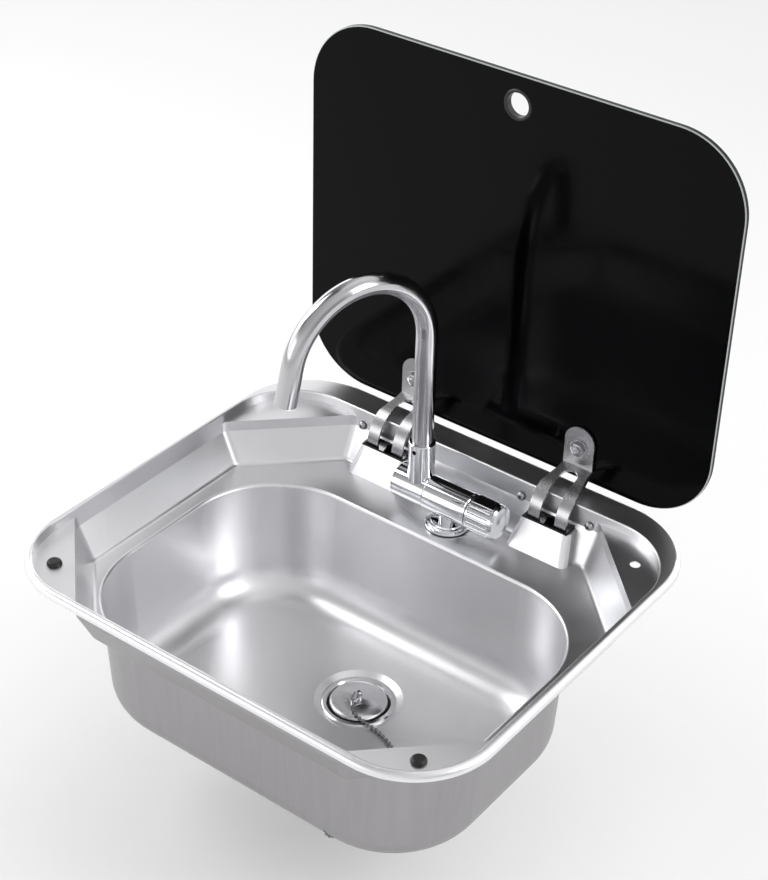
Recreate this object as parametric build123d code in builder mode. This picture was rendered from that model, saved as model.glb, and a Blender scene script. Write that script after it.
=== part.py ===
from build123d import *
import os
from math import acos, asin, atan2, cos, degrees, pi, radians, sin, sqrt, tan

os.makedirs("parts", exist_ok=True)

# Inset sink for a camper worktop, with a folding cold tap and a hinged glass lid.
# Millimetres, +Z up, +X right and +Y to the back, where the lid is hinged.
# The origin is the middle of the rim, in the plane of the worktop that the rim rests on.

# ---------------------------------------------------------------- driving dimensions

# pressed stainless sheet, drops are measured down from the rim's top face
sheet = 0.9
rim_width = 420.0
rim_depth = 371.0
rim_height = 6.0
rim_corner = 70.0
rim_edge = 4.5
well_width = 405.0
well_depth = 337.0
rim_front = 6.5
well_corner = 60.0
well_lip = 1.4
platform_drop = 8.0
platform_leg = 79.0
crease_drop = 17.0
band_draft = 4.0
ledge_drop = 45.0
ledge_inset = 15.5
ledge_leg = 66.0
wall_soft = 9.0
ledge_soft = 4.0
bowl_width = 345.0
bowl_depth = 243.5
bowl_front = 14.0
bowl_corner = 80.0
bowl_draft = 3.0
bowl_height = 105.0
bowl_floor_soft = 30.0
bowl_lip = 3.0

# holes and rubber buttons in the corner platforms
corner_hole_radius = 4.2
corner_hole_x = 172.5
corner_hole_y = 140.0
button_radius = 6.0
button_height = 3.5

# glass lid
glass_width = 393.0
glass_height = 327.0
glass_thick = 5.0
glass_corner = 60.0
glass_edge = 0.8
lid_back_gap = 5.0
lid_rise = 0.5
lid_seat_gap = 0.3
finger_hole_radius = 9.8
finger_hole_drop = 24.0
grommet_wall = 1.4
grommet_lip = 1.4
grommet_stand = 1.0

# lid hinges
hinge_x = 81.5
pivot_back = 15.3
strap = 2.0
strap_radius = 27.6
fork_width = 36.0
tab_width = 27.5
bend_rise = 12.8
tab_rise = 50.3
fork_slot = 14.5
slot_end_back = 5.0
slot_room = 2.3
web_angle = 205.0
web_room = 0.8
knuckle_radius = 5.0
pin_radius = 2.5
fit = 0.05
side_gap = 0.6
ear = 1.5
ear_reach = 7.0
carrier_half = 39.0
screw_pitch = 65.0
screw_drop = 14.5
screw_radius = 2.0
screw_stand = 0.85
pad = 1.0
bolt_rise = 31.0
bolt_radius = 3.0
washer_radius = 10.0

# pressed pockets that the hinge forks drop into, and the moulded boxes under their slots
pocket_drop = 21.0
pocket_top_width = 46.0
pocket_foot_width = 57.0
pocket_foot_out = 12.0
pocket_soft = 6.0
slot_width = 41.0
slot_trim = 0.8
trim_lip = 0.9
trim_stand = 0.8
trim_height = 3.0
trim_depth = 11.5
box_wall = 1.0
box_room = 1.0
box_half = 21.0
box_step = 7.5

# waste
drain_x = 5.5
drain_y = 1.5
dish_radius = 38.0
dish_depth = 3.0
flange_radius = 30.2
flange_thick = 1.4
seat_lip = 0.2
seat_radius = 26.5
throat_radius = 19.0
throat_depth = 7.4
waste_wall = 2.0
waste_length = 46.0
waste_gasket_height = 2.5
waste_nut_radius = 35.0
waste_nut_height = 10.0
outlet_radius = 12.5
outlet_bore = 10.0
outlet_length = 32.0

# plug and chain
plug_radius = 20.5
plug_dome = 4.5
plug_edge = 1.2
plug_gap = 0.3
seal_height = 4.0
seal_core = 9.0
eye_radius = 3.2
eye_height = 6.5
eye_rise = 3.6
link_half = 4.2
link_reach = 12.5
link_wire = 0.7
link_bend = 0.8
link_slope = 9.0
chain_radius = 1.2
chain_ball = 1.6
clasp_radius = 1.7
clasp_length = 4.0
anchor_x = 84.0
anchor_z = -64.0
anchor_radius = 7.0

# folding tap
tap_x = 1.5
tap_y = 122.5
tap_axis_drop = 21.0
body_radius = 15.0
body_left = -16.0
body_right = 24.6
sleeve_radius = 14.5
sleeve_length = 30.0
sleeve_gap = 0.3
spigot_radius = 10.0
collar_wall = 2.25
collar_rise = 24.5
tube_radius = 8.75
tube_wall = 1.0
arch_radius = 63.0
arch_rise = 124.3
arch_turn = 168.0
arch_straight = 32.0
arch_azimuth = 17.5
tap_knob_radius = 15.2
tap_knob_length = 26.2
tap_ring_length = 1.2
tap_ring_stand = 0.6
stem_radius = 8.0
shank_radius = 7.0
shank_length = 42.0
base_ring_radius = 19.0
base_ring_height = 4.5
inlet_radius = 5.0
inlet_bore = 3.6
inlet_length = 40.0
base_gasket_height = 1.0
spindle_radius = 4.0
grub_radius = 2.0
grub_drop = 6.0
outlet_recess = 0.8
flute_count = 22
flute_radius = 1.3
flute_out = 0.5
knob_ring = 2.0
knob_end = 4.5
knob_bevel = 1.6
flat_half = 6.5

# ---------------------------------------------------------------- places worked out

rim_top = rim_height
well_y = -rim_depth / 2 + rim_front + well_depth / 2
wall_y = well_y + well_depth / 2
platform_z = rim_top - platform_drop
crease_z = rim_top - crease_drop
ledge_z = rim_top - ledge_drop
floor_z = ledge_z - bowl_height
bowl_y = wall_y - well_depth + ledge_inset + bowl_front + bowl_depth / 2

lid_under = platform_z + button_height + lid_seat_gap
glass_bottom = rim_top + lid_rise
pivot_y = wall_y + pivot_back
pivot_z = glass_bottom + wall_y - lid_back_gap - pivot_y
glass_y = pivot_y + lid_under - pivot_z
strap_y = glass_y - pad - strap / 2
bend_z = rim_top + bend_rise
tab_z = rim_top + tab_rise
bolt_z = rim_top + bolt_rise
strap_reach = strap_radius + strap / 2
pocket_z = rim_top - pocket_drop
pocket_top_reach = strap_reach + slot_room + sheet - pivot_back
pocket_foot_reach = pocket_top_reach + pocket_foot_out
screw_z = rim_top - screw_drop

seat_z = floor_z - dish_depth
waste_hole = seat_radius + 1.3
waste_outer = throat_radius + waste_wall
seat_top = flange_thick + seat_lip
seat_foot = flange_thick - throat_depth
seat_slope = (seat_radius - throat_radius) / (seat_top - seat_foot)
tap_z = rim_top - tap_axis_drop
sleeve_right = body_left - sleeve_gap
sleeve_left = sleeve_right - sleeve_length
collar_radius = tube_radius + collar_wall
riser_x = sleeve_right - collar_radius
sides = {"left": -1, "right": 1}


# ---------------------------------------------------------------- pressed sink


def octagon(half_x, half_y, leg, soft):
    """Rectangle round the well's middle with its four corners cut off at leg."""
    with BuildLine(mode=Mode.PRIVATE) as edge:
        Polyline(
            (half_x, half_y - leg),
            (half_x - leg, half_y),
            (leg - half_x, half_y),
            (-half_x, half_y - leg),
            (-half_x, leg - half_y),
            (leg - half_x, -half_y),
            (half_x - leg, -half_y),
            (half_x, leg - half_y),
            close=True,
        )
    with BuildSketch() as shape:
        with Locations((0, well_y)):
            add(make_face(edge.edges(), mode=Mode.PRIVATE))
        fillet(shape.vertices(), soft)
    return shape.sketch


def press_form(grow):
    """The space that the sheet is pressed round, grown outwards by grow."""
    half_x = well_width / 2 + grow
    half_y = well_depth / 2 + grow
    leg_grow = grow * (2 - sqrt(2))
    with BuildPart() as form:
        # upper band, whose corners end on the platforms
        for drop in (0, platform_drop + grow):
            draft = drop * tan(radians(band_draft))
            with BuildSketch(Plane.XY.offset(rim_top - drop)):
                with Locations((0, well_y)):
                    RectangleRounded(2 * (half_x - draft), 2 * (half_y - draft), well_corner + grow - draft)
        loft(ruled=True)
        # well between the platforms, steep to the crease and then bevelled to the ledge
        for drop, inset, leg in (
            (0, 0, platform_leg),
            (crease_drop, crease_drop * tan(radians(band_draft)), platform_leg),
            (ledge_drop + grow, ledge_inset, ledge_leg),
        ):
            with BuildSketch(Plane.XY.offset(rim_top - drop)):
                add(octagon(half_x - inset, half_y - inset, leg + leg_grow, wall_soft + grow))
        loft(ruled=True)
        fillet(form.edges().group_by(Axis.Z)[0], ledge_soft + grow)
        # bowl, with a soft brim and a deep radius round its floor
        under = ledge_z - grow
        with BuildSketch(Plane.XY.offset(under)):
            with Locations((0, bowl_y)):
                RectangleRounded(bowl_width + 2 * grow, bowl_depth + 2 * grow, bowl_corner + grow)
        extrude(amount=floor_z - ledge_z, taper=bowl_draft)
        brim = form.edges(Select.LAST).filter_by_position(Axis.Z, under - 0.01, under + 0.01)
        fillet(brim, bowl_lip - grow)
        fillet(form.edges().group_by(Axis.Z)[0], bowl_floor_soft + grow)
    return form.part


def dish(grow):
    """Shallow recess in the bowl's floor round the waste."""
    with BuildPart() as hollow:
        with BuildSketch(Plane.XY.offset(floor_z + 1)):
            with Locations((drain_x, drain_y)):
                Circle(dish_radius + grow)
        with BuildSketch(Plane.XY.offset(seat_z - grow)):
            with Locations((drain_x, drain_y)):
                Circle(flange_radius + 1 + grow)
        loft()
    return hollow.part


def pocket(middle, grow):
    """Block behind a hinge pocket: the sheet lies on its front, sides and top."""
    lean = (pocket_foot_reach - pocket_top_reach) / (pocket_z - ledge_z)
    under = 5.0
    foot_reach = pocket_foot_reach + lean * under
    foot_width = pocket_foot_width + (pocket_foot_width - pocket_top_width) / (pocket_z - ledge_z) * under
    behind = 20.0
    with BuildPart() as block:
        for height, reach, width in (
            (pocket_z - grow, pocket_top_reach, pocket_top_width),
            (ledge_z - under, foot_reach, foot_width),
        ):
            with BuildSketch(Plane.XY.offset(height)) as level:
                with Locations((middle, wall_y + (behind - reach + grow) / 2)):
                    RectangleRounded(width - 2 * grow, behind + reach - grow, pocket_soft - grow)
        loft(ruled=True)
    return block.part


def rim_block(grow):
    """Block under the rim's outer skin, with the rolled edge, grown outwards by grow."""
    with BuildPart() as block:
        with BuildSketch():
            RectangleRounded(rim_width + 2 * grow, rim_depth + 2 * grow, rim_corner + grow)
        extrude(amount=rim_height + grow)
        fillet(block.faces().sort_by(Axis.Z)[-1].edges(), rim_edge + grow)
    return block.part


def bowl_front_at(height):
    """Y of the bowl's front wall, on its inside, at a height between brim and floor."""
    return bowl_y - bowl_depth / 2 + (ledge_z - height) * tan(radians(bowl_draft))


with BuildPart() as sink:
    add(rim_block(0))
    add(rim_block(-sheet), mode=Mode.SUBTRACT)
    # the pressing's outside is added and its inside cut away, so the sheet is left
    for grow, mode in ((sheet, Mode.ADD), (0, Mode.SUBTRACT)):
        with BuildPart(mode=Mode.PRIVATE) as hollow:
            add(press_form(grow))
            add(dish(grow))
            for side in sides.values():
                add(pocket(side * hinge_x, grow), mode=Mode.SUBTRACT)
        add(hollow.part, mode=mode)
    # lip of the rim over the well
    inside = Box(well_width + 1, well_depth + 1, 1, mode=Mode.PRIVATE).moved(Location((0, well_y, rim_top)))
    lip = inside.bounding_box()
    mouth = sink.edges().filter_by_position(Axis.Z, rim_top - 0.01, rim_top + 0.01)
    mouth = mouth.filter_by_position(Axis.X, lip.min.X, lip.max.X)
    fillet(mouth.filter_by_position(Axis.Y, lip.min.Y, lip.max.Y), well_lip)
    # round holes: corners, waste, tap and hinge carriers
    with Locations(*[
        (x * corner_hole_x, well_y + y * corner_hole_y, platform_z) for x in (-1, 1) for y in (-1, 1)
    ]):
        Hole(corner_hole_radius, depth=3)
    with Locations((drain_x, drain_y, seat_z)):
        Hole(waste_hole, depth=3)
    with Locations((tap_x, tap_y, ledge_z)):
        Hole(shank_radius + 0.5, depth=3)
    for side in sides.values():
        # slot in the pocket's top, from behind its front edge to the wall
        with Locations((side * hinge_x, wall_y, pocket_z)):
            Box(slot_width, 2 * (pocket_top_reach - sheet), 4, mode=Mode.SUBTRACT)
    for x in (hinge_x - screw_pitch / 2, hinge_x + screw_pitch / 2):
        for side in sides.values():
            with Locations(Plane((side * x, wall_y - 3, screw_z), z_dir=(0, -1, 0))):
                Hole(screw_radius + 0.2, depth=6)
sink.part.label = "sink"
export_step(sink.part, "parts/sink.step")


def facing_front(x, y, z):
    """Plane through a point, seen from the front: X right, Z up, normal to the front."""
    return Plane((x, y, z), x_dir=(1, 0, 0), z_dir=(0, -1, 0))


def turned(centre, axis, points):
    """Solid of revolution from (radius, distance along the axis) points."""
    along = Vector(*axis)
    across = Vector(1, 0, 0) if axis[0] == 0 else Vector(0, 0, 1)
    with BuildPart() as solid:
        with BuildSketch(Plane(centre, x_dir=across, z_dir=across.cross(along))):
            with BuildLine():
                Polyline(*points, close=True)
            make_face()
        revolve(axis=Axis(centre, axis))
    return solid.part


# ---------------------------------------------------------------- buttons in the front platforms

for name, side in sides.items():
    with BuildPart() as button:
        with BuildSketch(Plane.XY.offset(platform_z)):
            with Locations((side * corner_hole_x, well_y - corner_hole_y)):
                Circle(button_radius)
        extrude(amount=button_height)
        fillet(button.faces().sort_by(Axis.Z)[-1].edges(), button_height * 0.8)
        # stem through the hole, and the barb that holds it under the sheet
        for top, radius, length in (
            (platform_z, corner_hole_radius, sheet),
            (platform_z - sheet, corner_hole_radius + 1, 3),
        ):
            with BuildSketch(Plane.XY.offset(top)):
                with Locations((side * corner_hole_x, well_y - corner_hole_y)):
                    Circle(radius)
            extrude(amount=-length)
    button.part.label = f"button_{name}"
    export_step(button.part, f"parts/button_{name}.step")

# ---------------------------------------------------------------- glass lid

grommet_hole = finger_hole_radius + grommet_wall
grommet_z = glass_bottom + glass_height - finger_hole_drop

with BuildPart() as lid_glass:
    with BuildSketch(facing_front(0, glass_y, glass_bottom + glass_height / 2)):
        RectangleRounded(glass_width, glass_height, glass_corner)
    extrude(amount=-glass_thick)
    chamfer(lid_glass.faces().filter_by(Axis.Y).edges(), glass_edge)
    with Locations(facing_front(0, glass_y, grommet_z)):
        Hole(grommet_hole)
    for side in sides.values():
        with Locations(facing_front(side * hinge_x, glass_y, bolt_z)):
            Hole(bolt_radius + 1)
lid_glass.part.label = "lid_glass"
export_step(lid_glass.part, "parts/lid_glass.step")

with BuildPart() as lid_grommet:
    lip = grommet_hole + grommet_lip
    back = -glass_thick - grommet_stand
    add(turned((0, glass_y, grommet_z), (0, -1, 0), [
        (finger_hole_radius, grommet_stand * 0.4),
        (finger_hole_radius + 0.6, grommet_stand),
        (lip - 0.7, grommet_stand),
        (lip, grommet_stand * 0.3),
        (lip, 0),
        (grommet_hole, 0),
        (grommet_hole, -glass_thick),
        (lip, -glass_thick),
        (lip, -glass_thick - grommet_stand * 0.3),
        (lip - 0.7, back),
        (finger_hole_radius + 0.6, back),
        (finger_hole_radius, -glass_thick - grommet_stand * 0.4),
    ]))
lid_grommet.part.label = "lid_grommet"
export_step(lid_grommet.part, "parts/lid_grommet.step")

# ---------------------------------------------------------------- lid hinges

# the strap leaves the tab in a straight run that meets its arc round the pivot at a tangent
bend_out = sqrt((strap_y - pivot_y) ** 2 + (bend_z - pivot_z) ** 2)
bend_angle = degrees(atan2(bend_z - pivot_z, strap_y - pivot_y))
meet_angle = bend_angle + degrees(acos(strap_radius / bend_out))
slot_y = strap_y - slot_end_back - strap / 2 - fork_slot / 2
fork_half = fork_width / 2
tab_half = tab_width / 2


def round_pivot(angle, radius):
    """Point at an angle and a radius round the hinge pin, as (y, z)."""
    return (pivot_y + radius * cos(radians(angle)), pivot_z + radius * sin(radians(angle)))


def hinge_arm(middle):
    """Forked swan-neck strap: tab on the glass, arc over the rim, eyes on the pin."""
    meet = round_pivot(meet_angle, strap_radius)
    with BuildPart() as arm:
        with BuildSketch(Plane.YZ.offset(middle - fork_half)):
            with BuildLine():
                Line((strap_y, tab_z), (strap_y, bend_z))
                Line((strap_y, bend_z), meet)
                CenterArc((pivot_y, pivot_z), strap_radius, meet_angle, web_angle - meet_angle)
                Line(round_pivot(web_angle, strap_radius), (pivot_y, pivot_z))
            trace(line_width=strap)
            with Locations((pivot_y, pivot_z)):
                Circle(knuckle_radius)
        extrude(amount=fork_width)
        # round-topped tab, with shoulders that widen down to the fork
        with BuildSketch(facing_front(middle, pivot_y, 0)):
            with BuildLine():
                Polyline(
                    (-tab_half, tab_z - tab_half),
                    (-tab_half, bend_z - 1),
                    (-fork_half, meet[1] - 1),
                    (-fork_half, pivot_z - strap_radius - 5),
                    (fork_half, pivot_z - strap_radius - 5),
                    (fork_half, meet[1] - 1),
                    (tab_half, bend_z - 1),
                    (tab_half, tab_z - tab_half),
                )
                ThreePointArc((tab_half, tab_z - tab_half), (0, tab_z), (-tab_half, tab_z - tab_half))
            make_face()
        extrude(amount=60, both=True, mode=Mode.INTERSECT)
        # slot between the two arms, with a half-round end near the tab
        reach = strap_radius + 10
        with BuildSketch(Plane.XY.offset(pivot_z - strap_radius - 5)):
            with Locations((middle, slot_y)):
                Circle(fork_slot / 2)
            with Locations((middle, slot_y - reach)):
                Rectangle(fork_slot, 2 * reach)
        extrude(amount=60 + strap_radius, mode=Mode.SUBTRACT)
        with Locations((middle, pivot_y, pivot_z)):
            Box(fork_slot, 4 * knuckle_radius, 4 * knuckle_radius, mode=Mode.SUBTRACT)
        with Locations(facing_front(middle, strap_y, bolt_z)):
            Hole(bolt_radius + 0.3, depth=strap)
        with Locations(Plane((middle, pivot_y, pivot_z), z_dir=(1, 0, 0))):
            Hole(pin_radius + fit, depth=fork_width)
    return arm.part


def hinge_carrier(middle):
    """Bracket behind the back wall: a plate screwed to it and two ears for the pin."""
    front = wall_y + sheet - (rim_top - screw_z - 6) * tan(radians(band_draft))
    # the plate ends above the webs of the fork, which pass under it to the pin
    web_fall = radians(web_angle - 180)
    web_top = pivot_z - (pivot_y - front - ear) * tan(web_fall) + strap / 2 / cos(web_fall)
    foot = web_top + web_room
    ear_in = fork_half + side_gap
    with BuildPart() as carrier:
        with BuildSketch(facing_front(middle, front, 0)):
            with BuildLine():
                Polyline(
                    (-carrier_half, screw_z + 6),
                    (-carrier_half, screw_z - 6),
                    (-ear_in - 6, pivot_z - ear_reach),
                    (-ear_in, pivot_z - ear_reach),
                    (-ear_in, foot),
                    (ear_in, foot),
                    (ear_in, pivot_z - ear_reach),
                    (ear_in + 6, pivot_z - ear_reach),
                    (carrier_half, screw_z - 6),
                    (carrier_half, screw_z + 6),
                    close=True,
                )
            make_face()
            with GridLocations(screw_pitch, 1, 2, 1):
                with Locations((0, screw_z)):
                    Circle(screw_radius + 0.2, mode=Mode.SUBTRACT)
        extrude(amount=-ear)
        for side in (-1, 1):
            inner = middle + side * ear_in
            with BuildSketch(Plane.YZ.offset(inner)):
                with BuildLine():
                    Polyline(
                        (front, screw_z + 6),
                        (front, pivot_z - ear_reach),
                        (pivot_y, pivot_z - ear_reach),
                        (pivot_y, screw_z + 6),
                        close=True,
                    )
                make_face()
                with Locations((pivot_y, pivot_z)):
                    Circle(ear_reach)
            extrude(amount=side * ear)
        with Locations(Plane((middle, pivot_y, pivot_z), z_dir=(1, 0, 0))):
            Hole(pin_radius, depth=2 * carrier_half)
    return carrier.part


def hinge_box(middle):
    """Moulded box hung under the slot's edging, open at its top, that closes in the fork's swing."""
    swing = strap_reach + box_room
    top = pocket_z - trim_height
    foot = pivot_z - swing
    front = pivot_y - swing
    back = round_pivot(web_angle + 90, swing + strap)[0]
    with BuildPart() as box:
        # high under the pocket, and lower behind the wall, where the hinge carrier is
        with BuildSketch(Plane.YZ.offset(middle - box_half)):
            with BuildLine():
                Polyline(
                    (front - box_wall, top),
                    (front - box_wall, foot - box_wall),
                    (back + box_wall, foot - box_wall),
                    (back + box_wall, pivot_z - box_step),
                    (wall_y - sheet, pivot_z - box_step),
                    (wall_y - sheet, top),
                    close=True,
                )
            make_face()
        extrude(amount=2 * box_half)
        with Locations((middle, (front + back) / 2, (foot + pivot_z) / 2)):
            Box(2 * (box_half - box_wall), back - front, pivot_z - foot, mode=Mode.SUBTRACT)
    return box.part


for name, side in sides.items():
    middle = side * hinge_x
    tab_spot = (middle, glass_y, bolt_z)

    with BuildPart() as arm:
        add(hinge_arm(middle))
    arm.part.label = f"hinge_arm_{name}"
    export_step(arm.part, f"parts/hinge_arm_{name}.step")

    with BuildPart() as carrier:
        add(hinge_carrier(middle))
    carrier.part.label = f"hinge_carrier_{name}"
    export_step(carrier.part, f"parts/hinge_carrier_{name}.step")

    with BuildPart() as pin:
        reach = fork_half + side_gap + ear
        add(turned((middle, pivot_y, pivot_z), (1, 0, 0), [
            (0, -reach - 1.5),
            (pin_radius + 1.5, -reach - 1.5),
            (pin_radius + 1.5, -reach),
            (pin_radius, -reach),
            (pin_radius, reach),
            (pin_radius + 1.5, reach),
            (pin_radius + 1.5, reach + 1.5),
            (0, reach + 1.5),
        ]))
    pin.part.label = f"hinge_pin_{name}"
    export_step(pin.part, f"parts/hinge_pin_{name}.step")

    for half, sign in (("inner", -1), ("outer", 1)):
        with BuildPart() as screw:
            seat = wall_y - screw_drop * tan(radians(band_draft)) - screw_stand
            behind = wall_y + sheet + ear
            spot = (middle + side * sign * screw_pitch / 2, seat, screw_z)
            add(turned(spot, (0, -1, 0), [
                (0, 2.2), (2.2, 2.0), (3.6, 0.8), (3.8, 0), (screw_radius, 0),
                (screw_radius, seat - behind), (3.6, seat - behind),
                (3.6, seat - behind - 3), (0, seat - behind - 3),
            ]))
        screw.part.label = f"carrier_screw_{name}_{half}"
        export_step(screw.part, f"parts/carrier_screw_{name}_{half}.step")

    # rubber pads on both faces of the glass, bolt from behind and nut on the tab
    with BuildPart() as pad_front:
        add(turned(tab_spot, (0, -1, 0), [
            (bolt_radius + 0.3, 0), (washer_radius, 0), (washer_radius, pad), (bolt_radius + 0.3, pad),
        ]))
    pad_front.part.label = f"glass_pad_front_{name}"
    export_step(pad_front.part, f"parts/glass_pad_front_{name}.step")

    with BuildPart() as pad_back:
        add(turned(tab_spot, (0, -1, 0), [
            (bolt_radius + 0.3, -glass_thick - pad),
            (washer_radius, -glass_thick - pad),
            (washer_radius, -glass_thick),
            (bolt_radius + 0.3, -glass_thick),
        ]))
    pad_back.part.label = f"glass_pad_back_{name}"
    export_step(pad_back.part, f"parts/glass_pad_back_{name}.step")

    with BuildPart() as bolt:
        head = -glass_thick - pad
        tip = pad + strap + 6.0
        add(turned(tab_spot, (0, -1, 0), [
            (0, head - 3), (5, head - 2.6), (8, head - 1), (8, head), (bolt_radius, head),
            (bolt_radius, tip - 0.6), (bolt_radius - 0.6, tip), (0, tip),
        ]))
    bolt.part.label = f"glass_bolt_{name}"
    export_step(bolt.part, f"parts/glass_bolt_{name}.step")

    with BuildPart() as nut:
        face = glass_y - pad - strap
        with BuildSketch(facing_front(middle, face, bolt_z)):
            RegularPolygon(6.0, 6)
            Circle(bolt_radius, mode=Mode.SUBTRACT)
        extrude(amount=4.5)
        # washer under the nut
        with BuildSketch(facing_front(middle, face, bolt_z)):
            Circle(7.5)
            Circle(bolt_radius, mode=Mode.SUBTRACT)
        extrude(amount=0.8)
    nut.part.label = f"glass_nut_{name}"
    export_step(nut.part, f"parts/glass_nut_{name}.step")

    # black edging on three sides of the slot that the fork drops through, with a lip on the sheet
    with BuildPart() as trim:
        slot_front = wall_y - pocket_top_reach + sheet
        for top, lip, height in ((pocket_z + trim_stand, trim_lip, trim_stand), (pocket_z, 0, trim_height)):
            with BuildSketch(Plane.XY.offset(top)):
                with Locations((middle, slot_front - lip)):
                    Rectangle(slot_width + 2 * lip, trim_depth + lip, align=(Align.CENTER, Align.MIN))
                with Locations((middle, slot_front + slot_trim)):
                    Rectangle(
                        slot_width - 2 * slot_trim, trim_depth, align=(Align.CENTER, Align.MIN), mode=Mode.SUBTRACT
                    )
            extrude(amount=-height)
    trim.part.label = f"slot_trim_{name}"
    export_step(trim.part, f"parts/slot_trim_{name}.step")

    with BuildPart() as box:
        add(hinge_box(middle))
    box.part.label = f"hinge_box_{name}"
    export_step(box.part, f"parts/hinge_box_{name}.step")

# ---------------------------------------------------------------- waste

drain = (drain_x, drain_y, seat_z)
gasket_foot = -sheet - waste_gasket_height

with BuildPart() as waste_flange:
    add(turned(drain, (0, 0, 1), [
        (seat_radius, seat_top),
        (flange_radius - 1.2, flange_thick),
        (flange_radius, flange_thick / 2),
        (flange_radius, 0),
        (seat_radius + 0.8, 0),
        (waste_outer, seat_foot - 0.6),
        (waste_outer, -waste_length),
        (throat_radius, -waste_length),
        (throat_radius, seat_foot),
    ]))
    # cross in the throat, which keeps cutlery out of the pipe
    with Locations((drain_x, drain_y, seat_z + seat_foot - 6)):
        Box(2 * throat_radius + 1, 3, 3)
        Box(3, 2 * throat_radius + 1, 3)
waste_flange.part.label = "waste_flange"
export_step(waste_flange.part, "parts/waste_flange.step")

with BuildPart() as waste_gasket:
    add(turned(drain, (0, 0, 1), [
        (waste_hole, -sheet), (waste_hole, gasket_foot), (waste_nut_radius - 2, gasket_foot),
        (waste_nut_radius - 2, -sheet),
    ]))
waste_gasket.part.label = "waste_gasket"
export_step(waste_gasket.part, "parts/waste_gasket.step")

with BuildPart() as waste_nut:
    add(turned(drain, (0, 0, 1), [
        (waste_hole, gasket_foot),
        (waste_nut_radius, gasket_foot),
        (waste_nut_radius, gasket_foot - 3),
        (waste_nut_radius - 4, gasket_foot - waste_nut_height),
        (waste_outer, gasket_foot - waste_nut_height),
        (waste_outer, gasket_foot - 4),
        (waste_hole, gasket_foot - 4),
    ]))
    # grips round the nut
    with BuildSketch(Plane.XY.offset(seat_z + gasket_foot)):
        with Locations((drain_x, drain_y)):
            with PolarLocations(waste_nut_radius, 8):
                Rectangle(5, 6)
    extrude(amount=-waste_nut_height)
waste_nut.part.label = "waste_nut"
export_step(waste_nut.part, "parts/waste_nut.step")

with BuildPart() as waste_tail:
    collar_top = -waste_length + 12
    collar_foot = -waste_length - 2
    cone_foot = -waste_length - 14
    barb = 1.2
    profile = [
        (waste_outer, collar_top),
        (waste_outer + 3.5, collar_top),
        (waste_outer + 3.5, collar_foot),
        (outlet_radius, cone_foot),
    ]
    for ring in range(3):
        top = cone_foot - 8 - ring * 7
        profile += [(outlet_radius, top), (outlet_radius + barb, top), (outlet_radius, top - 5)]
    profile += [
        (outlet_radius, cone_foot - outlet_length),
        (outlet_bore, cone_foot - outlet_length),
        (outlet_bore, cone_foot),
        (throat_radius, collar_foot),
        (throat_radius, -waste_length),
        (waste_outer, -waste_length),
    ]
    add(turned(drain, (0, 0, 1), profile))
waste_tail.part.label = "waste_tail"
export_step(waste_tail.part, "parts/waste_tail.step")

# ---------------------------------------------------------------- plug

cap_foot = 0.4
cap_edge = cap_foot + plug_edge
cap_top = cap_foot + plug_dome
dome_radius = (plug_radius**2 + (cap_top - cap_edge) ** 2) / (2 * (cap_top - cap_edge))
eye_flat = eye_radius + 0.2
eye_foot = cap_top - dome_radius + sqrt(dome_radius**2 - eye_flat**2)
seal_foot = cap_foot - seal_height


def seal_reach(height):
    """Radius of the seal at a height, the plug's gap inside the conical seat."""
    aside = plug_gap * sqrt(1 + seat_slope**2)
    return seat_radius - (seat_top - height) * seat_slope - aside


with BuildPart() as plug_cap:
    with BuildSketch(facing_front(*drain)):
        with BuildLine():
            flat = degrees(asin(eye_flat / dome_radius))
            rim = degrees(asin(plug_radius / dome_radius))
            CenterArc((0, cap_top - dome_radius), dome_radius, 90 - rim, rim - flat)
            Polyline(
                (plug_radius, cap_edge),
                (plug_radius, cap_foot),
                (seal_core, cap_foot),
                (seal_core, seal_foot),
                (seal_core + 2.5, seal_foot),
                (seal_core + 2.5, seal_foot - 1.6),
                (0, seal_foot - 1.6),
                (0, eye_foot),
                (eye_flat, eye_foot),
            )
        make_face()
    revolve(axis=Axis(drain, (0, 0, 1)))
plug_cap.part.label = "plug_cap"
export_step(plug_cap.part, "parts/plug_cap.step")

with BuildPart() as plug_seal:
    add(turned(drain, (0, 0, 1), [
        (seal_core, cap_foot),
        (seal_reach(cap_foot) - 0.6, cap_foot),
        (seal_reach(cap_foot - 0.6), cap_foot - 0.6),
        (seal_reach(seal_foot), seal_foot),
        (seal_core, seal_foot),
    ]))
plug_seal.part.label = "plug_seal"
export_step(plug_seal.part, "parts/plug_seal.step")

eye_z = seat_z + eye_foot + eye_rise
with BuildPart() as plug_eye:
    add(turned((drain_x, drain_y, seat_z + eye_foot), (0, 0, 1), [
        (0, 0), (eye_radius, 0), (eye_radius, 1.6), (eye_radius - 0.8, 2.2), (eye_radius - 0.8, eye_height - 1),
        (eye_radius - 1.8, eye_height), (0, eye_height),
    ]))
    with Locations(Plane((drain_x, drain_y, eye_z), z_dir=(1, 0, 0))):
        Hole(link_wire + fit, depth=20)
    with Locations(Plane((drain_x, drain_y, eye_z), z_dir=(-1, 0, 0))):
        Hole(link_wire + fit, depth=20)
plug_eye.part.label = "plug_eye"
export_step(plug_eye.part, "parts/plug_eye.step")

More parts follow.
